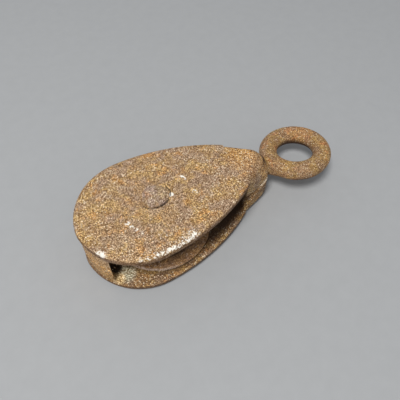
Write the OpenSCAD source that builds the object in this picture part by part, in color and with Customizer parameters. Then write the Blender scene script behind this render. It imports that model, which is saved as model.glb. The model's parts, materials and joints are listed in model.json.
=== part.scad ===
/* [Cheeks] */
// Distance from the axle to the end of the tail
tail_reach = 50; // [46:1:54]
// Distance from the axle to the nose of the upper cheek
nose_reach = 74.5; // [72:0.5:76]
// Width of the cheeks at their widest
cheek_w = 73; // [72:1:80]
// How far the widest place lies behind the axle
widest_back = 11; // [6:1:14]
// Radius of the outline at the tail's end
tail_r = 21; // [14:1:28]
// Radius of the outline at the nose
nose_r = 8.5; // [7:0.5:10]
// Thickness of the block over the crowns of its cheeks
block_t = 41; // [39:1:46]
// Thickness of one cheek at its crown
cheek_t = 6.5; // [5:0.5:8]
// Height of the crown above the rim
crown_h = 1.1; // [0.6:0.1:1.6]
// Rounding of the outer rim
rim_r = 2.6; // [1.5:0.1:3]

/* [Tail wall and head] */
// Thickness of the closed wall round the tail
wall_t = 5; // [4:0.5:6]
// Distance from the axle to the ends of the tail wall
wall_reach = 40; // [38:0.5:42]
// How far the tail wall is set in from the rim
wall_inset = 0.9; // [0.5:0.1:1.5]
// Rounding of the corners at the ends of the tail wall
corner = 4; // [3:0.5:5]
// Height and depth of the rebate along the seam
seam = 0.7; // [0.4:0.1:1]
// Distance from the axle to the concave face of the head
swallow_reach = 54; // [51:1:56]
// Width of the block that joins the head to the swallow
head_w = 21.6; // [21.2:0.2:22.4]
// Distance from the axle to the waist, where the rims end and the lobe begins
waist_reach = 56; // [55:0.5:57]
// Radius of the round lobe that holds the swivel
lobe_r = 12.3; // [12.1:0.1:12.6]
// Distance from the axle to the lobe's tip
lobe_reach = 81; // [80.8:0.1:81.4]
// Width and depth of the open seam round the lobe
lobe_seam = 1.6; // [1.2:0.1:1.8]
// Distance from the axle to the spot face on the lobe's tip
spot_reach = 80; // [79.8:0.1:80.2]
// Radius of the spot face
spot_r = 7.4; // [7.2:0.1:7.8]

/* [Sheave] */
// Outer radius of the sheave's flanges
sheave_r = 33; // [30:0.5:34]
// Radius of the groove's bottom, which the rope is wound on
groove_root_r = 23.5; // [22:0.5:25]
// Radius of the rope's seat in the groove
rope_seat_r = 7.5; // [6:0.5:8.5]
// Angle of the groove's flanks from the sheave's plane
flank_angle = 30; // [20:1:35]
// Thickness of the sheave over its flanges
sheave_t = 25.4; // [23:0.1:25.6]
// Radius of the hub
hub_r = 13; // [11:0.5:14]
// Thickness of the web between hub and rim
web_t = 10; // [8:1:14]
// Outer radius of the bush
bush_r = 8; // [7.5:0.5:9]

/* [Axle rivet] */
// Radius of the rivet's shank
axle_r = 6; // [5:0.25:6.5]
// Radius of the countersunk head
countersink_r = 9; // [8:0.5:10]
// Radius of the hand-cut washer under the hammered end
rivet_washer_r = 8.4; // [8:0.1:9]
// Thickness of that washer
rivet_washer_t = 1; // [0.8:0.1:1.4]
// Radius of the hammered end
peen_r = 7; // [6.6:0.1:7.4]
// Height of the hammered end above its washer
peen_h = 1.3; // [1:0.1:1.8]

/* [Swivel eye] */
// Radius of the eye's bar
eye_bar_r = 6.3; // [5.5:0.1:6.4]
// Radius of the circle along the middle of the bar
eye_ring_r = 18.3; // [16:0.1:18.5]
// Distance from the axle to the middle of the eye
eye_reach = 105.3; // [105:0.1:107]
// Angle by which the eye has swung round its shank
eye_turn = -9; // [-180:1:180]
// Radius of the shank
shank_r = 5.2; // [5:0.1:5.4]
// Radius of the collar that bears on the spot face
collar_r = 6.8; // [6.4:0.1:7]
// Thickness of the collar
collar_t = 1.8; // [1.5:0.1:2.2]
// Radius of the button on the inner end of the shank
button_r = 7.6; // [7:0.1:7.8]
// Thickness of the washer behind the button
swivel_washer_t = 1.6; // [1.2:0.1:2]

/* [Clearances] */
// Radial clearance of the turning fits
running_gap = 0.07; // [0.03:0.01:0.1]
// End play of the sheave and of the swivel
end_play = 0.3; // [0.2:0.05:0.5]
// Clearance of the riveted and located fits
fixed_gap = 0.05; // [0.02:0.01:0.1]

/* [Hidden] */
$fn = 96;

rust = "#8a5a34";
dark_rust = "#6b4630";
bronze = "#8c6f3e";

// Middle of the block, and the axle's place along the whole length
mid_z = block_t / 2;
eye_end = eye_reach + eye_ring_r + eye_bar_r;
axle_x = -(eye_end - tail_reach) / 2;

// Heights above the middle plane
inner_z = mid_z - cheek_t;
rim_z = mid_z - crown_h;
pad_h = 0.4;
pad_r = 11;
pad_z = inner_z - pad_h;
hub_z = pad_z - end_play;
lap = 1;
slice = 0.05;

// Pocket in the head for the button, and the shoulder that its washer bears on
pocket_r = 8.6;
shoulder_x = 66;
washer_x = shoulder_x - end_play;
button_x = washer_x - swivel_washer_t;
button_t = 4;

// Middle of the lobe, the step in at the waist, how far the seam's lower lip lies below the middle
// plane, and how much smaller the upper lobe is there
lobe_x = lobe_reach - lobe_r;
waist_step = 0.9;
lip_drop = 1;
seam_step = 0.6;

// Locating spigots, cast on the lower half
spigot_r = 1.5;
spigot_h = 3;
spigot_tail_angle = 155;
spigot_head = [69.5, 8.2];

// Radii of the outline's two long arcs, tangent to the tail's and the nose's
half_w = cheek_w / 2;
tail_run = tail_reach - tail_r - widest_back;
nose_run = nose_reach - nose_r + widest_back;
rear_r = (pow(tail_run, 2) + pow(half_w, 2) - pow(tail_r, 2)) / (2 * (half_w - tail_r));
front_r = (pow(nose_run, 2) + pow(half_w, 2) - pow(nose_r, 2)) / (2 * (half_w - nose_r));
rear_c = [-widest_back, half_w - rear_r];
front_c = [-widest_back, half_w - front_r];
rear_angle = atan2(-rear_c.y, -tail_run);
front_angle = atan2(-front_c.y, nose_run);

// Points along an arc from angle a to angle b
function arc(c, r, a, b, n) = [for (i = [0:n]) let (t = a + (b - a) * i / n) c + r * [cos(t), sin(t)]];

// One side of the egg outline, from tail to nose, set in by d
function egg_side(d) = concat(
    arc([tail_r - tail_reach, 0], tail_r - d, 180, rear_angle, 2),
    arc(rear_c, rear_r - d, rear_angle, 90, 14),
    arc(front_c, front_r - d, 90, front_angle, 12),
    arc([nose_reach - nose_r, 0], nose_r - d, front_angle, 4, 5)
);

// The whole outline, a four-arc egg
function egg(d) = let (s = egg_side(d), n = len(s))
    concat(s, [for (i = [n - 1:-1:1]) [s[i].x, -s[i].y]]);

module at_axle() translate([axle_x, 0, mid_z]) children();

module along_x(x) translate([x, 0, 0]) rotate([0, 90, 0]) children();

// One thin layer of the cheek's rounded form
module layer(z, d, s = 1) translate([0, 0, z]) linear_extrude(slice) scale(s) polygon(egg(d));

// A cheek as far as the waist: flat inside, with a rounded rim and a low crown that rises to a
// flat middle
module cheek() {
    edge = 0.8;
    difference() {
        hull() {
            layer(inner_z, edge);
            layer(inner_z + edge, 0);
            for (a = [0, 30, 60, 90])
                layer(rim_z - rim_r * (1 - sin(a)), rim_r * (1 - cos(a)));
            layer(rim_z + crown_h * 0.7, rim_r, 0.74);
            layer(mid_z - slice, rim_r, 0.5);
        }
        translate([waist_reach, -half_w, 0]) cube([nose_reach, 2 * half_w, block_t]);
    }
}

// The closed wall round the tail, with its half of the rebate along the seam
module tail_wall() {
    inside = wall_inset + wall_t;
    difference() {
        union() {
            linear_extrude(seam + 0.01) polygon(egg(wall_inset + seam));
            translate([0, 0, seam]) linear_extrude(inner_z - seam + lap) polygon(egg(wall_inset));
        }
        translate([0, 0, -1]) linear_extrude(inner_z + 1) polygon(egg(inside));
        side_opening();
    }
}

// The opening beside the sheave, from one side of the block to the other, with round corners
module side_opening() {
    start = corner - wall_reach;
    translate([start, -half_w, -1]) cube([2 * nose_reach, 2 * half_w, block_t]);
    translate([-wall_reach, -half_w, -1]) cube([2 * corner, 2 * half_w, inner_z + 1 - corner]);
    translate([start, half_w, inner_z - corner]) rotate([90, 0, 0]) cylinder(r = corner, h = 2 * half_w);
}

// The block behind the lobe, hollowed towards the sheave to let the rope through
module head_block() {
    difference() {
        for (b = [[waist_reach, inner_z + lap], [lobe_x - lobe_r / 3, inner_z / 3]])
            translate([swallow_reach / 2, -head_w / 2, 0])
                cube([b[0] - swallow_reach / 2, head_w, b[1]]);
        translate([0, 0, -1]) cylinder(r = swallow_reach, h = inner_z + 1);
    }
}

// Half the width of the lobe at the waist, a step in from the egg outline
waist_w = front_c.y + sqrt(pow(front_r, 2) - pow(waist_reach + widest_back, 2)) - waist_step;

// The lobe: upright by the seam, then rounded through the sections given, each with its height, its
// middle and its radius, and joined to the cheek at the waist by shoulders of the given half widths
// and heights
module lobe(start, straight, shoulders, sections) {
    hull() {
        translate([lobe_x, 0, start]) cylinder(r = sections[0][2], h = straight - start, $fn = 48);
        for (s = shoulders)
            translate([waist_reach - 1, -s[0], straight]) cube([1, 2 * s[0], s[1] - straight]);
        for (s = sections)
            translate([s[1], 0, s[0] - slice]) cylinder(r = s[2], h = slice, $fn = 32);
    }
    translate([lobe_x, 0, 0]) cylinder(r = lobe_r - lobe_seam, h = start + lap);
}

module spigots(r, h) {
    wall_mid = rear_r - wall_inset - wall_t / 2;
    for (side = [-1, 1]) {
        tail = rear_c + wall_mid * [cos(spigot_tail_angle), sin(spigot_tail_angle)];
        translate([tail.x, side * tail.y, -lap]) cylinder(r = r, h = h + lap, $fn = 32);
        translate([spigot_head.x, side * spigot_head.y, -lap]) cylinder(r = r, h = h + lap, $fn = 32);
    }
}

// What both halves of the shell share, drawn above the middle plane, round the lobe of each
module half_shell() {
    difference() {
        union() {
            cheek();
            tail_wall();
            head_block();
            children();
            translate([0, 0, pad_z]) cylinder(r = pad_r, h = pad_h + lap);
        }
        cylinder(r = axle_r + fixed_gap, h = block_t);
        along_x(swallow_reach / 2) cylinder(r = pocket_r, h = shoulder_x - swallow_reach / 2);
        along_x(shoulder_x - lap) cylinder(r = shank_r + running_gap, h = nose_reach);
        along_x(spot_reach) cylinder(r = spot_r, h = nose_reach);
    }
}

// Upper cheek, with a lobe that slopes down to the seam and sockets for the spigots
module upper_shell() {
    lip = lobe_seam - lip_drop;
    straight = lip + 1;
    end_r = lobe_r - seam_step;
    rise = rim_z - straight;
    round_w = [for (s = [[1, 0.78], [0.94, 0.93], [0.8, 1], [0.5, 1.02]]) [waist_w * s[0], rim_z * s[1]]];
    dome = [for (f = [0, 0.3, 0.55, 0.78, 1])
        [straight + rise * f, lobe_x - 5 * f * f, end_r * sqrt(1 - pow(0.84 * f, 2))]];
    color(rust) at_axle() difference() {
        half_shell() lobe(lip, straight, round_w, dome);
        spigots(spigot_r + fixed_gap, spigot_h + fixed_gap);
    }
}

// Lower cheek, with a fuller lobe, the spigots and the countersink of the rivet's head
module lower_shell() {
    full = [[inner_z, lobe_x, lobe_r], [rim_z - 1, lobe_x, lobe_r - 1], [rim_z, lobe_x - 1, lobe_r - 3]];
    full_w = [[waist_w, rim_z - rim_r], [waist_w - rim_r, rim_z], [waist_w / 2, rim_z + crown_h / 3]];
    color(rust) at_axle() {
        difference() {
            mirror([0, 0, 1]) half_shell() lobe(lip_drop, inner_z, full_w, full);
            translate([0, 0, -mid_z - fixed_gap])
                cylinder(r1 = countersink_r + 2 * fixed_gap, r2 = axle_r + fixed_gap,
                         h = countersink_r - axle_r + fixed_gap);
        }
        spigots(spigot_r, spigot_h);
    }
}

// Grooved wheel with a hub and a sunk web
module sheave() {
    rim_half = sheave_t / 2;
    seat_c = groove_root_r + rope_seat_r;
    seat_edge = rope_seat_r * cos(flank_angle);
    flank_end = seat_edge + (sheave_r - seat_c + rope_seat_r * sin(flank_angle)) * tan(flank_angle);
    rim_in_r = groove_root_r - 4.5;
    half = concat(
        [[bush_r, hub_z], [hub_r, hub_z], [hub_r + 1.5, web_t / 2], [rim_in_r, web_t / 2]],
        [[rim_in_r + 4, rim_half], [sheave_r - 1, rim_half]],
        [[sheave_r, rim_half - 1], [sheave_r, flank_end]],
        arc([seat_c, 0], rope_seat_r, 90 + flank_angle, 176, 7)
    );
    below = [for (i = [len(half) - 1:-1:0]) [half[i].x, -half[i].y]];
    color(dark_rust) at_axle() rotate_extrude() polygon(concat(half, below));
}

// Plain bush, pressed into the sheave
module sheave_bush() {
    color(bronze) at_axle() translate([0, 0, -hub_z]) difference() {
        cylinder(r = bush_r, h = 2 * hub_z);
        translate([0, 0, -1]) cylinder(r = axle_r + running_gap, h = 2 * hub_z + 2);
    }
}

// Rivet through both cheeks: countersunk head below, hammered end above
module axle_rivet() {
    sink = countersink_r - axle_r;
    peen_z = mid_z + rivet_washer_t;
    dome = [for (a = [0:15:90]) [peen_r * cos(a), peen_h * (0.25 + 0.75 * sin(a))]];
    color(rust) at_axle() {
        translate([0, 0, -mid_z]) cylinder(r1 = countersink_r, r2 = axle_r, h = sink);
        translate([0, 0, -mid_z]) cylinder(r = axle_r, h = block_t + rivet_washer_t + lap / 2);
        translate([0, 0, peen_z]) rotate_extrude() polygon(concat([[0, 0], [peen_r, 0]], dome));
    }
}

// Washer cut by hand from plate, so its edge is in uneven flats
module rivet_washer() {
    corners = [14, 52, 97, 131, 178, 222, 259, 301, 338];
    color(rust) at_axle() translate([0, 0, mid_z]) difference() {
        linear_extrude(rivet_washer_t) polygon([for (a = corners) rivet_washer_r * [cos(a), sin(a)]]);
        translate([0, 0, -1]) cylinder(r = axle_r + fixed_gap, h = rivet_washer_t + 2);
    }
}

// Forged eye with its shoulder, collar, shank and upset button
module swivel_eye() {
    collar_x = spot_reach + end_play;
    root_angle = 140;
    root = [eye_reach + eye_ring_r * cos(root_angle), eye_ring_r * sin(root_angle)];
    button = [for (a = [0:15:90]) [button_r * cos(a), -button_t * (0.35 + 0.65 * sin(a))]];
    color(rust) at_axle() rotate([eye_turn, 0, 0]) {
        translate([eye_reach, 0, 0]) rotate_extrude() translate([eye_ring_r, 0]) circle(eye_bar_r);
        for (side = [-1, 1])
            hull() {
                along_x(collar_x + 0.6) cylinder(r = collar_r - 0.1, h = collar_t - 0.7, $fn = 32);
                translate([root.x, side * root.y, 0]) sphere(eye_bar_r - 0.2, $fn = 32);
            }
        along_x(collar_x) cylinder(r = collar_r, h = collar_t);
        along_x(button_x - 1) cylinder(r = shank_r, h = collar_x - button_x + 2);
        along_x(button_x) rotate_extrude() polygon(concat([[0, 0], [button_r, 0]], button));
    }
}

// Washer between the button and the shoulder in the head
module swivel_washer() {
    color(dark_rust) at_axle() along_x(button_x) difference() {
        cylinder(r = pocket_r - 0.5, h = swivel_washer_t);
        translate([0, 0, -1]) cylinder(r = shank_r + fixed_gap, h = swivel_washer_t + 2);
    }
}

upper_shell();
lower_shell();
sheave();
sheave_bush();
axle_rivet();
rivet_washer();
swivel_eye();
swivel_washer();
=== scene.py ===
import itertools
import json
import math
import bpy
import numpy as np
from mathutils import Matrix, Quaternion, Vector


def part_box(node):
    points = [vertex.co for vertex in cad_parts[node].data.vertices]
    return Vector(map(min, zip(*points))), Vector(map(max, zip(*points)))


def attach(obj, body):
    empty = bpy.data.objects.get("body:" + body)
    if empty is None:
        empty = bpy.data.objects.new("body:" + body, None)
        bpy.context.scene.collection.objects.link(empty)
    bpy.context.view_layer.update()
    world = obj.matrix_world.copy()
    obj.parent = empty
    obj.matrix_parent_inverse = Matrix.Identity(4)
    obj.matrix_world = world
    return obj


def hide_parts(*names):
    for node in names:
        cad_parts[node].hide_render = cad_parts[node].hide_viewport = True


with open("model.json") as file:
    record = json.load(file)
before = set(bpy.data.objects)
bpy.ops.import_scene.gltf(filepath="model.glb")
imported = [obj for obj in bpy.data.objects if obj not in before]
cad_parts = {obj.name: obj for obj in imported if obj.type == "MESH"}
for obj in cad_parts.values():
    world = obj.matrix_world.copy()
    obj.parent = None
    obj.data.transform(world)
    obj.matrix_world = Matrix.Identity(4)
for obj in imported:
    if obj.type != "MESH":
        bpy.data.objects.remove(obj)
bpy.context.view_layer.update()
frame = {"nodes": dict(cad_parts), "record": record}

# The view
# The block lies on its side on a floor, seen from in front and above, with the eye pointing away to
# the right. The axle's foot on the floor is the point that the view is set out from.
mm = 0.001
rivet_low, rivet_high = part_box("axle_rivet")
axle = Vector(((rivet_low.x + rivet_high.x) / 2, 0, 0))


def on_block(x, y, z):
    """A place on the block, in millimetres from the axle's foot on the floor."""
    return axle + Vector((x, y, z)) * mm


camera_point = on_block(-50.1, -139.3, 253.9)
look_point = on_block(35.5, 9.0, 0)
roll = Quaternion((0, 0, 1), math.radians(0.7))

camera = bpy.data.objects.new("camera", bpy.data.cameras.new("camera"))
bpy.context.collection.objects.link(camera)
camera.data.sensor_width = 36
camera.data.lens = 39.6
camera.location = camera_point
camera.rotation_mode = "QUATERNION"
camera.rotation_quaternion = (look_point - camera_point).to_track_quat("-Z", "Y") @ roll
bpy.context.scene.camera = camera
bpy.context.scene.view_settings.view_transform = "Standard"

# The floor
# A plain sheet of pale grey board, large enough to fill the view from every side, under a soft lamp
# over the camera's left shoulder and the even light of a pale room.
board_reach = 6
board_tones = "a6a8aa", "adafb1"
lamp_point = axle + Vector((-0.50, -0.34, 1.36))
lamp_colour = (1, 0.985, 0.96)
room_colour = (0.95, 0.97, 1, 1)


class Field:
    """A value that varies over a surface: one output of a material's nodes."""

    def __init__(self, paint, socket):
        self.paint = paint
        self.socket = socket

    def _worked(self, operation, *values):
        return self.paint.add("ShaderNodeMath", {"operation": operation}, dict(enumerate(values)))

    def __add__(self, other):
        return self._worked("ADD", self, other)

    __radd__ = __add__

    def __sub__(self, other):
        return self._worked("SUBTRACT", self, other)

    def __rsub__(self, other):
        return self._worked("SUBTRACT", other, self)

    def __mul__(self, other):
        return self._worked("MULTIPLY", self, other)

    __rmul__ = __mul__

    def between(self, start, end):
        """0 at start, 1 at end, and a smooth change from one to the other. Start may be the larger."""
        values = {"Value": self, "From Min": start, "From Max": end}
        return self.paint.add("ShaderNodeMapRange", {"interpolation_type": "SMOOTHSTEP"}, values)

    def beside(self, output):
        """Another output of the same node."""
        return Field(self.paint, self.socket.node.outputs[output])


class Paint:
    """The nodes of one procedural material."""

    def __init__(self, name):
        self.material = bpy.data.materials.new(name)
        self.material.use_nodes = True
        self.tree = self.material.node_tree
        self.shader = self.tree.nodes["Principled BSDF"]

    def add(self, kind, settings, values, output=0):
        """Adds a node, makes its settings, fills its sockets, and gives one of its outputs."""
        node = self.tree.nodes.new(kind)
        for name, setting in settings.items():
            setattr(node, name, setting)
        self.fill(node, values)
        return Field(self, node.outputs[output])

    def fill(self, node, values):
        """Fills a node's sockets, by number or by name, with numbers, colours or fields."""
        for key, value in values.items():
            socket = node.inputs[key] if isinstance(key, int) else self._socket(node, key)
            if isinstance(value, Field):
                self.tree.links.new(value.socket, socket)
            else:
                socket.default_value = value

    def _socket(self, node, key):
        for socket in node.inputs:
            if key in (socket.identifier, socket.name) and socket.enabled:
                return socket
        raise KeyError(f"{node.bl_idname} has no socket {key}")

    def place(self, shift=0.0):
        """The point on the piece, in metres, moved by a shift so that two patterns don't agree."""
        point = self.add("ShaderNodeTexCoord", {}, {}, "Object")
        values = {0: point, 1: (shift, shift * 2, shift * 3)}
        return self.add("ShaderNodeVectorMath", {"operation": "ADD"}, values)

    def clouds(self, size, detail=2.0, shift=0.0, rough=0.6):
        """Soft blotches of about that size, from 0 to 1."""
        values = {"Vector": self.place(shift), "Scale": 1 / size, "Detail": detail, "Roughness": rough}
        return self.add("ShaderNodeTexNoise", {}, values)

    def grains(self, size, shift=0.0):
        """Ragged cells of about that size: how far each point is from its cell's middle, and the
        cell's three random values."""
        even = self.place(shift)
        values = {"Vector": even, "Scale": 1.2 / size, "Detail": 1.0}
        drift = self.add("ShaderNodeTexNoise", {}, values, "Color")
        values = {0: drift, 1: (size, size, size), 2: even}
        ragged = self.add("ShaderNodeVectorMath", {"operation": "MULTIPLY_ADD"}, values)
        away = self.add("ShaderNodeTexVoronoi", {}, {"Vector": ragged, "Scale": 1 / size}, "Distance")
        red = self.add("ShaderNodeSeparateColor", {}, {"Color": away.beside("Color")}, "Red")
        return away, red, red.beside("Green"), red.beside("Blue")

    def mark(self, name):
        """A value stored on the mesh's points, or 0 on a mesh that has no such mark."""
        return self.add("ShaderNodeAttribute", {"attribute_name": name}, {}, "Fac")

    def near(self, place, reach):
        """1 close to a place, and 0 beyond its reach."""
        values = {0: self.place(), 1: place}
        away = self.add("ShaderNodeVectorMath", {"operation": "DISTANCE"}, values, "Value")
        return 1 - away.between(reach * 0.4, reach)

    def blend(self, mask, under, over, kind="MIX"):
        """One colour laid over another where the mask is 1."""
        values = {"Factor_Float": mask, "A_Color": under, "B_Color": over}
        return self.add("ShaderNodeMix", {"data_type": "RGBA", "blend_type": kind}, values, 2)

    def finish(self, **values):
        """Fills the shader's sockets, a _ in a name being a space, and gives the material."""
        self.fill(self.shader, {name.replace("_", " "): value for name, value in values.items()})
        return self.material


def tone(code):
    """A colour as a screen shows it, in six hex digits, as the shader wants it."""
    parts = [int(code[i:i + 2], 16) / 255 for i in (0, 2, 4)]
    return (*[p / 12.92 if p <= 0.04045 else ((p + 0.055) / 1.055) ** 2.4 for p in parts], 1.0)


def pale_board():
    """Grey board with the faintest mottle."""
    paint = Paint("pale_board")
    colour = paint.blend(paint.clouds(9 * mm, detail=3), *[tone(code) for code in board_tones])
    return paint.finish(Base_Color=colour, Roughness=0.85)


sheet = bpy.data.meshes.new("floor")
corners = [(x * board_reach, y * board_reach, 0) for x, y in ((-1, -1), (1, -1), (1, 1), (-1, 1))]
sheet.from_pydata(corners, [], [(0, 1, 2, 3)])
sheet.materials.append(pale_board())
floor = bpy.data.objects.new("floor", sheet)
bpy.context.collection.objects.link(floor)

lamp = bpy.data.objects.new("key_lamp", bpy.data.lights.new("key_lamp", "AREA"))
bpy.context.collection.objects.link(lamp)
lamp.data.shape = "DISK"
lamp.data.size = 0.4
lamp.data.energy = 16.5
lamp.data.color = lamp_colour
lamp.location = lamp_point
lamp.rotation_mode = "QUATERNION"
lamp.rotation_quaternion = (axle - lamp_point).to_track_quat("-Z", "Y")

room = bpy.data.worlds.new("room")
room.use_nodes = True
room_light = room.node_tree.nodes["Background"].inputs
room_light["Color"].default_value = room_colour
room_light["Strength"].default_value = 0.38
bpy.context.scene.world = room

# Upper shell
# The upper half of the block: an iron casting with the cheek, half of the tail's wall and half of
# the head, thick with rust. Years of weather have rounded its edges and pitted its skin, and rubbing
# has left scars along the near rim, painted pale as glints. The rivet holds it to the lower half.
seam_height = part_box("upper_shell")[0].z
inner_face = 14 * mm  # from the seam to the inner face of each cheek
flange_radius = (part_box("sheave")[1].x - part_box("sheave")[0].x) / 2
casting_wear = {"voxel": 0.42 * mm, "soften": 3, "skin": 0.06 * mm, "swell": 0.3 * mm, "pit": 0.08 * mm}
body_of = {n: body for body, nodes in frame["record"]["behaviour"]["bodies"].items() for n in nodes}


def hashed(cells, seed):
    """A random number from 0 to 1 for each cell of a grid, mixed from its place by large primes."""
    x, y, z = (cells[:, i].astype(np.uint64) for i in range(3))
    mixed = x * np.uint64(73856093) ^ y * np.uint64(19349663) ^ z * np.uint64(83492791)
    mixed = (mixed + np.uint64(seed * 7919)) * np.uint64(2654435761)
    mixed = (mixed ^ (mixed >> np.uint64(15))) * np.uint64(2246822519)
    highest = 2 ** 16 - 1
    return ((mixed >> np.uint64(13)) & np.uint64(highest)).astype(float) / highest


def lumps(points, size, seed):
    """Smooth random heights from 0 to 1, in lumps of about that size."""
    above_zero = 1000
    grid = points / size + above_zero
    cells = np.floor(grid).astype(np.int64)
    part = grid - cells
    part = part * part * (3 - 2 * part)
    heights = np.zeros(len(points))
    for corner in itertools.product((0, 1), repeat=3):
        weight = np.prod(np.where(corner, part, 1 - part), axis=1)
        heights += weight * hashed(cells + np.array(corner), seed)
    return heights


def ramp(values, low, high):
    """0 below low, 1 above high, and a smooth rise from one to the other."""
    part = np.clip((values - low) / (high - low), 0, 1)
    return part * part * (3 - 2 * part)


def along(points):
    """How far each point is from the axle towards the eye."""
    return points[:, 0] - axle.x


def from_axle(points):
    """How far each point is from the axle's line."""
    return np.hypot(along(points), points[:, 1])


def read_points(mesh, name="co"):
    """The places of a mesh's points, or their normals."""
    values = np.zeros(len(mesh.vertices) * 3)
    mesh.vertices.foreach_get(name, values)
    return values.reshape(-1, 3)


def store_mark(mesh, name, values):
    """Stores a value for each of a mesh's points, for its material to read."""
    mark = mesh.attributes.new(name, "FLOAT", "POINT")
    mark.data.foreach_set("value", values.astype(np.float32))


def take_mesh(node, voxel, soften):
    """A finer copy of a node's mesh, with its sharp edges worn round."""
    name = node + "_worn"
    piece = bpy.data.objects.new(name, frame["nodes"][node].data.copy())
    bpy.context.collection.objects.link(piece)
    piece.data.materials.clear()
    remesh = piece.modifiers.new("remesh", "REMESH")
    remesh.mode = "VOXEL"
    remesh.voxel_size = voxel
    smooth = piece.modifiers.new("smooth", "SMOOTH")
    smooth.factor = 0.5
    smooth.iterations = soften
    bpy.context.view_layer.update()
    fine = bpy.data.meshes.new_from_object(piece.evaluated_get(bpy.context.evaluated_depsgraph_get()))
    piece.modifiers.clear()
    piece.data = fine
    fine.name = name
    fine.polygons.foreach_set("use_smooth", [True] * len(fine.polygons))
    return piece


def mark_bend(mesh, points, normals, voxel):
    """Marks how much the surface bends at each point: above 0 on edges and below 0 in corners."""
    pairs = np.zeros(len(mesh.edges) * 2, dtype=np.int32)
    mesh.edges.foreach_get("vertices", pairs)
    one = np.concatenate([pairs[0::2], pairs[1::2]])
    other = np.concatenate([pairs[1::2], pairs[0::2]])
    count = np.bincount(one, minlength=len(points))

    def around(values):
        return np.bincount(one, values[other], len(points)) / count

    mean = np.stack([around(points[:, i]) for i in range(3)], axis=1)
    bend = ((points - mean) * normals).sum(axis=1) / voxel ** 2 * mm
    for _ in range(6):
        bend = 0.4 * bend + 0.6 * around(bend)
    store_mark(mesh, "bend", bend)


def mark_underside_shade(mesh, points, normals):
    """Marks where shade is painted: what leans down towards the floor but doesn't lie flat, except round
    the head's tip.
    """
    tip = ramp(along(points), 60 * mm, 66 * mm) * (1 - ramp(along(points), 88 * mm, 92 * mm))
    lean = ramp(-normals[:, 2], 0, 0.5)
    flat = ramp(-normals[:, 2], 0.8, 0.95)
    store_mark(mesh, "under", lean * (1 - flat) * (1 - tip))


def weather(mesh, points, normals, box, skin, swell, pit, seed):
    """Eats into the surface: a thin even loss, broad hollows and small pits, all inside its box.
    Points level with the seam keep their height, so that the halves stay shut."""
    broad = lumps(points, 9 * mm, seed)
    middle = lumps(points, 2.6 * mm, seed + 1)
    small = lumps(points, 1.1 * mm, seed + 2)
    pitted = np.clip((lumps(points, 1.7 * mm, seed + 3) - 0.66) / 0.3, 0, 1)
    loss = skin + swell * (0.75 * broad + 0.15 * middle + 0.1 * small) + pit * pitted
    moved = np.clip(points - normals * loss[:, None], np.array(box[0]), np.array(box[1]))
    at_seam = np.abs(points[:, 2] - seam_height) < 0.5 * mm
    moved[at_seam, 2] = points[at_seam, 2]
    mesh.vertices.foreach_set("co", moved.ravel())
    mesh.update()
    store_mark(mesh, "depth", pitted * 0.6 + (1 - small) * 0.4)


def dress_node(node, material, seed, voxel, soften, skin, swell, pit):
    """Puts a worn copy in a node's place, with its finish. Gives it, and its points and normals
    before the weather ate into them."""
    piece = take_mesh(node, voxel, soften)
    points = read_points(piece.data)
    normals = read_points(piece.data, "normal")
    mark_bend(piece.data, points, normals, voxel)
    mark_underside_shade(piece.data, points, normals)
    weather(piece.data, points, normals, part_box(node), skin, swell, pit, seed)
    piece.data.materials.append(material)
    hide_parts(node)
    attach(piece, body_of[node])
    return piece, points, normals


def mark_shell(piece, points, normals, flange_shade):
    """Marks the rim and its side, and painted shade in the throat and along the sheave's track."""
    across = np.abs(points[:, 1])
    slice_of = np.floor(points[:, 0] / mm).astype(int)
    slice_of -= slice_of.min()
    half_width = np.zeros(slice_of.max() + 1)
    np.maximum.at(half_width, slice_of, across)
    inset = half_width[slice_of] - across
    from_seam = np.abs(points[:, 2] - seam_height)

    # Painted shade, deeper towards the head inside the cheeks, and in a band under the sheave's flange
    # edge
    throat = ramp(along(points), -15 * mm, 48 * mm) * ramp(inset, 1 * mm, 8 * mm)
    under_flange = ramp(from_axle(points), flange_radius - 3 * mm, flange_radius)
    outside = ramp(from_axle(points), flange_radius + 0.8 * mm, flange_radius + 1.8 * mm)
    dark = np.maximum(throat, flange_shade * under_flange * (1 - outside))
    store_mark(piece.data, "painted_shade", dark * (from_seam < inner_face + 0.4 * mm))

    store_mark(piece.data, "rim", 1 - ramp(inset, 1.5 * mm, 4 * mm))
    steep = ramp(1 - np.abs(normals[:, 2]), 0.25, 0.7) * (from_seam > inner_face - 0.4 * mm)
    store_mark(piece.data, "side", steep * (1 - ramp(along(points), 54 * mm, 60 * mm)))


def mark_crack_and_shadow(piece, points):
    """Marks the crack along the washer's uneven edge, open to the right and in front, with its painted
    shadow.
    """
    angle = np.degrees(np.arctan2(points[:, 1], along(points)))
    washer_edge = (8.5 + 0.9 * np.cos(np.radians(2 * angle - 20))) * mm
    band = np.clip(1 - np.abs(from_axle(points) - washer_edge) / (0.6 * mm), 0, 1)
    right = (angle > -25) & (angle < 24)
    in_front = (angle > -165) & (angle < -40)
    on_top = points[:, 2] > 38 * mm
    store_mark(piece.data, "crack_and_shadow", band * (right + 0.8 * in_front) * on_top)


def broad_colours(paint, earth, ochre, plum, flame, blooms, stains_and_painted_light):
    """Blotches of earth, ochre and plum with orange blooms, and stains and patches of painted light and
    shade in their places.
    """
    patches = paint.clouds(9 * mm, detail=3, shift=0.3).between(0.44, 0.58)
    colour = paint.blend(patches, tone(earth), tone(ochre))
    bruises = paint.clouds(11 * mm, detail=4, shift=0.5).between(0.46, 0.56)
    colour = paint.blend(bruises * 0.7, colour, tone(plum))
    fire = paint.clouds(6 * mm, detail=4, shift=0.7)
    for place, reach in blooms:
        fire = fire + 0.07 * paint.near(place, reach)
    colour = paint.blend(fire.between(0.54, 0.68) * 0.65, colour, tone(flame))
    for place, reach, code, strength in stains_and_painted_light:
        colour = paint.blend(paint.near(place, reach) * strength, colour, tone(code))
    return colour


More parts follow.
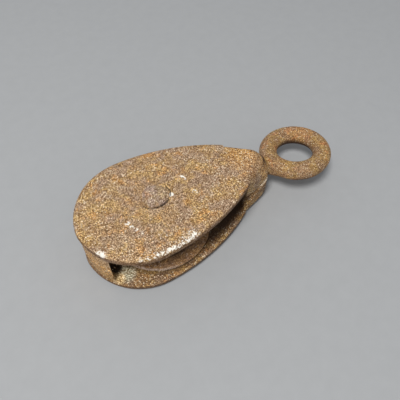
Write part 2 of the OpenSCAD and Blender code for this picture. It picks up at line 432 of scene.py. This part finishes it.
def grain_shade(paint, light):
    """The colour that a brightness multiplies by: light grains lean to cream, and dark grains and
    painted shade to red.
    """
    lean = {0: light, 1: (0.85, 1.03, 1.3), 2: (0.11, -0.02, -0.2)}
    shade = paint.add("ShaderNodeVectorMath", {"operation": "MULTIPLY_ADD"}, lean)
    return paint.add("ShaderNodeVectorMath", {"operation": "MAXIMUM"}, {0: shade, 1: (0.03, 0.02, 0.01)})


def rub_bare_and_glint(paint, colour, rough, scars_and_glints):
    """Bare iron, smoother, where the skin is rubbed through, ragged at its edges, and painted pale as a
    glint.
    """
    ragged = paint.clouds(1.4 * mm, detail=3, shift=0.9, rough=0.7)
    torn = ragged + 0.13 * paint.mark("rim") - 0.2 * paint.mark("side")
    for place, reach, cover in scars_and_glints:
        close = paint.near(place, reach)
        bare_and_glint = close * (torn + close * cover).between(0.64, 0.66)
        colour = paint.blend(bare_and_glint, colour, tone("fbf6ea"))
        rough = rough - bare_and_glint * 0.3
    return colour, rough


def rust(name, earth, ochre, plum, flame, grime_and_shade, gloss="fdeccc", grain=1.0,
         scars_and_glints=(), blooms=(), stains_and_painted_light=()):
    """Layered rust. Grime and painted shade fill what is deep, gloss is the tone of painted highlights
    on edges and of bright sparks, which are painted glints, and grain says how strongly the single
    grains stand out."""
    paint = Paint(name)
    side, painted_shade = paint.mark("side"), paint.mark("painted_shade")
    colour = broad_colours(paint, earth, ochre, plum, flame, blooms, stains_and_painted_light)
    colour = paint.blend(side * 0.5, colour, tone(plum))
    # A painted highlight where it is marked: the lower half's ledge and the sheave's flange edges
    colour = paint.blend(paint.mark("painted_highlight") * 0.6, colour, tone(gloss))

    # Grains, each of its own tint, most of them a little dark and a few very light, under the shade
    away, first, second, third = paint.grains(0.6 * mm)
    near, fourth, _, _ = paint.grains(0.4 * mm, shift=0.13)
    colour = paint.blend(second.between(0.6, 1.0) * 0.3, colour, tone(plum))
    colour = paint.blend(second.between(0.15, 0.0) * 0.25, colour, tone(flame))
    grit = paint.clouds(1.1 * mm, detail=5, shift=0.9, rough=0.75).between(0.3, 0.7)
    light = 1 + grain * (0.1 * first + 2.05 * fourth * fourth + 0.1 * grit - 0.91)
    # Painted shade where sheltered and on what leans down; the steep sides are also made a little darker
    light = light * (1 - 0.45 * side) * (1 - 0.7 * painted_shade) * (1 - 0.7 * paint.mark("under"))
    colour = paint.blend(1.0, colour, grain_shade(paint, light), "MULTIPLY")

    # Painted shade where it is sheltered, grime and painted shade in pits and corners, dark crumbs,
    # and bright sparks that are painted glints
    colour = paint.blend(painted_shade * 0.85, colour, tone("342008"))
    colour = paint.blend(paint.mark("depth").between(0.6, 0.95) * 0.35, colour, tone(grime_and_shade))
    colour = paint.blend(paint.mark("bend").between(-0.15, -0.8) * 0.75, colour, tone(grime_and_shade))
    crumbs = third.between(0.9, 0.94) * (1 - away.between(0.3, 0.5)) * grain
    colour = paint.blend(crumbs * 0.7, colour, tone(grime_and_shade))
    open_skin = (1 - painted_shade) * (1 - 0.8 * side)
    sparks = third.between(0.08, 0.07) * (1 - away.between(0.45, 0.55)) * open_skin * grain
    colour = paint.blend(sparks, colour, tone(gloss))

    # Bare scars painted pale as glints, the crack round the washer with its painted shadow, and the
    # relief of the grains
    colour, rough = rub_bare_and_glint(paint, colour, 0.88 - 0.2 * grit, scars_and_glints)
    crack_and_shadow = (paint.mark("crack_and_shadow") + 0.9 * paint.clouds(1.5 * mm, detail=3, shift=0.2)).between(0.7, 0.95)
    colour = paint.blend(crack_and_shadow * 0.8, colour, tone("2a180c"))
    crust = paint.clouds(1.1 * mm, detail=4, shift=0.5, rough=0.7)
    height = 0.25 * crust + 0.1 * first - 0.4 * crumbs - 0.15 * near
    bump = paint.add("ShaderNodeBump", {}, {"Strength": 0.8, "Distance": 0.2 * mm, "Height": height})
    return paint.finish(Base_Color=colour, Roughness=rough, Normal=bump)


# Each scar, rubbed bare and painted pale as a glint, has its place, its reach, and how much of that is
# bare
tail_scars_and_glints = [
    (on_block(-42.6, -16.6, 38), 2.6 * mm, 0.2),
    (on_block(-41.0, -19.0, 38), 3.2 * mm, 0.25),
    (on_block(-46.9, 4.1, 37.5), 3 * mm, 0.04),
    (on_block(-46.0, -4.5, 37.5), 3 * mm, 0.03),
]
rim_scars_and_glints = [
    (on_block(-22.0, -33.4, 38.2), 6 * mm, 0.0),
    (on_block(-14.0, -34.4, 38.2), 6 * mm, 0.04),
    (on_block(-6.0, -34.6, 38.2), 6 * mm, 0.05),
    (on_block(2.0, -33.6, 38.2), 6 * mm, 0.04),
    (on_block(8.0, -31.5, 38.5), 5 * mm, 0.1),
]
cheek_scars_and_glints = [
    (on_block(-21.8, -9.0, 40), 2.4 * mm, 0.18),
    (on_block(-20.4, -11.8, 40), 2.2 * mm, 0.16),
    (on_block(-18.8, -15.0, 40), 2.0 * mm, 0.16),
    (on_block(-17.0, -18.2, 40), 1.8 * mm, 0.16),
    (on_block(-7.8, -25.0, 40), 4 * mm, 0.04),
    (on_block(8.9, -3.2, 40.5), 2.2 * mm, 0.32),
    (on_block(20.8, 5.6, 40.5), 2 * mm, 0.18),
    (on_block(21.4, 3.4, 40.5), 2 * mm, 0.16),
    (on_block(22.2, -8.2, 40), 2.8 * mm, 0.12),
]

# Each bloom of brighter rust has its place and reach, and each stain and patch of painted light and
# shade its colour and strength too
shell_blooms = [
    (on_block(9.9, 30.6, 39), 7 * mm),
    (on_block(-37.4, -6.5, 39.5), 8 * mm),
    (on_block(-18.0, -30.2, 39), 7 * mm),
    (on_block(16.6, -23.9, 39), 8 * mm),
    (on_block(60.4, 2.5, 38), 8 * mm),
    (on_block(-18.0, 22.1, 40), 8 * mm),
    (on_block(13.6, 21.2, 40), 6 * mm),
]
# Paler, yellower patches on the tail's wall, on both halves
wall_pale_patches = [
    (on_block(-46, -14, 20), 17 * mm, "e2ac68", 0.65),
    (on_block(-50, 4, 20), 16 * mm, "d4a262", 0.55),
]
# Painted light and shade on the head: the lobe's steep side and the spot face by the neck lightened, and
# the waist shaped by darker and paler tones
head_painted_light_and_shade = [
    (on_block(76, -8, 30), 12 * mm, "d4a060", 0.6),
    (on_block(62, 2, 38), 16 * mm, "c89250", 0.6),
    (on_block(82, -1, 28), 8 * mm, "ecc684", 0.7),
    (on_block(60, -10, 36), 6 * mm, "a87440", 0.6),
    (on_block(53.5, -11.5, 37), 4 * mm, "b8967c", 0.8),
]

upper_rust = rust(
    "upper_rust", earth="b08b60", ochre="be9860", plum="a6886e", flame="cc9048", grime_and_shade="5a4026",
    scars_and_glints=tail_scars_and_glints + rim_scars_and_glints + cheek_scars_and_glints, blooms=shell_blooms, stains_and_painted_light=wall_pale_patches + head_painted_light_and_shade)
upper, upper_points, upper_normals = dress_node("upper_shell", upper_rust, seed=10, **casting_wear)
mark_shell(upper, upper_points, upper_normals, flange_shade=0.75)
mark_crack_and_shadow(upper, upper_points)

# Lower shell
# The mating casting, which lies on the floor and carries the locating spigots. It is sheltered by
# the upper one, and its rust is darker and browner. Its half of the head has a ledge, with a painted
# highlight.
# Painted light and shadow on the lower cheek's inner face at the tail: a pool of light, the dark of the
# wall's shadow, and a pale patch laid over that shadow
tail_painted_light_and_shadow = [
    (on_block(-32.0, -19.5, 6.3), 8 * mm, "c6bc9a", 0.85),
    (on_block(-36.5, -13.0, 6.3), 6 * mm, "1c1006", 0.95),
    (on_block(-37.4, -21.0, 6.3), 5 * mm, "f2cc90", 0.95),
]
lower_rust = rust(
    "lower_rust", earth="9e774a", ochre="ae874c", plum="8c7058", flame="bc8240", grime_and_shade="443120",
    stains_and_painted_light=wall_pale_patches + tail_painted_light_and_shadow)
lower, lower_points, lower_normals = dress_node("lower_shell", lower_rust, seed=20, **casting_wear)
mark_shell(lower, lower_points, lower_normals, flange_shade=0.3)
# A painted highlight along the ledge of the lower half of the head
above_seam = lower_points[:, 2] - seam_height
ledge = ramp(above_seam, -2.3 * mm, -1.3 * mm) * (above_seam < 0.2 * mm)
store_mark(lower.data, "painted_highlight", 0.9 * ledge * ramp(along(lower_points), 56 * mm, 62 * mm))

# Sheave
# The grooved iron wheel, dark with rust, which turns on the rivet in its bush. Shade is painted into
# its groove, and a highlight onto the edges of its flanges near the tail.
sheave_rust = rust(
    "sheave_rust", earth="91693e", ochre="a27846", plum="8a6648", flame="a87440", grime_and_shade="3c2a1a",
    gloss="d2bca8", grain=0.8)
wheel, wheel_points, _ = dress_node(
    "sheave", sheave_rust, seed=30, voxel=0.5 * mm, soften=3, skin=0.06 * mm, swell=0.2 * mm,
    pit=0.1 * mm)
# A painted highlight on the flanges' edges near the tail, and painted shade in the groove
flange_edge = ramp(from_axle(wheel_points), flange_radius - 1 * mm, flange_radius - 0.3 * mm)
near_tail = 1 - ramp(along(wheel_points), -14 * mm, 6 * mm)
out_of_groove = ramp(from_axle(wheel_points), flange_radius - 6.5 * mm, flange_radius - 5 * mm)
store_mark(wheel.data, "painted_highlight", flange_edge * near_tail)
store_mark(wheel.data, "painted_shade", 0.8 - 0.8 * out_of_groove)

# Rivet and washer
# A soft iron rivet through both cheeks. Its upper end is hammered out over a washer cut by hand
# from plate, and rust has run the two together.
rivet_rust = rust(
    "rivet_rust", earth="a98a6a", ochre="b89a70", plum="a68b7a", flame="c08c5a", grime_and_shade="553f28")
dress_node(
    "axle_rivet", rivet_rust, seed=40, voxel=0.35 * mm, soften=4, skin=0.04 * mm, swell=0.3 * mm,
    pit=0.2 * mm)
plate, plate_points, _ = dress_node(
    "rivet_washer", rivet_rust, seed=50, voxel=0.25 * mm, soften=3, skin=0.02 * mm, swell=0.2 * mm,
    pit=0.12 * mm)
mark_crack_and_shadow(plate, plate_points)

# Swivel eye
# A forged eye with its collar and shank in one, turning in the head. Its rust is brighter, with
# more ochre and orange than the castings, and painted shade low down inside the ring.
mounts = {mount["name"]: mount for mount in frame["record"]["mounts"]}
ring_middle = mounts["eye"]["pos_m"][0]
ring_hole = 12 * mm
# A scar on the ring, painted pale as a glint
eye_scars_and_glints = [(on_block(116.4, -20, 20.5), 3.5 * mm, 0.2)]
eye_blooms = [
    (on_block(113, 14, 24), 8 * mm),
    (on_block(90, -7, 24), 8 * mm),
    (on_block(121, -8, 24), 6 * mm),
    (on_block(98, -17, 24), 6 * mm),
]
# Stains on the ring, and a pale patch painted over the shade where the neck meets the head
eye_stains_and_painted_light = [
    (on_block(119, 11, 22), 12 * mm, "b4784e", 0.35),
    (on_block(90, -8, 22), 10 * mm, "b88a4e", 0.45),
    (on_block(84, -2, 21), 6 * mm, "f0cc90", 0.8),
    (on_block(108, -19, 22), 11 * mm, "8c6c4a", 0.45),
]
eye_rust = rust(
    "eye_rust", earth="a8824f", ochre="b28c50", plum="9c785a", flame="c27c44", grime_and_shade="452f1c",
    grain=0.8, scars_and_glints=eye_scars_and_glints, blooms=eye_blooms, stains_and_painted_light=eye_stains_and_painted_light)
eye, eye_points, _ = dress_node(
    "swivel_eye", eye_rust, seed=60, voxel=0.4 * mm, soften=4, skin=0.06 * mm, swell=0.3 * mm,
    pit=0.15 * mm)
# Painted shade low down inside the ring
from_ring = np.hypot(eye_points[:, 0] - ring_middle, eye_points[:, 1])
outside_hole = ramp(from_ring, ring_hole + 0.4 * mm, ring_hole + 1.6 * mm)
upper_part = ramp(eye_points[:, 2], seam_height - 3.5 * mm, seam_height)
store_mark(eye.data, "painted_shade", 0.8 * (1 - outside_hole) * (1 - upper_part))

# Bush and inner washer
# A dull bronze bush pressed into the sheave, and the iron washer behind the shank's button. Both
# keep the shape of their nodes.


def bronze():
    """Bronze under a broken film of dark grease."""
    paint = Paint("bronze")
    film = paint.clouds(3 * mm, detail=3).between(0.4, 0.7)
    colour = paint.blend(film, tone("7a6034"), tone("3b2b1a"))
    return paint.finish(Base_Color=colour, Metallic=0.7, Roughness=0.4 + 0.3 * film)


def coat(node, material):
    """Gives a node that keeps its own mesh its finish."""
    mesh = frame["nodes"][node].data
    mesh.materials.clear()
    mesh.materials.append(material)


washer_rust = rust(
    "washer_rust", earth="6a5038", ochre="7d6040", plum="604a40", flame="8a5c33", grime_and_shade="2f2015")
coat("sheave_bush", bronze())
coat("swivel_washer", washer_rust)
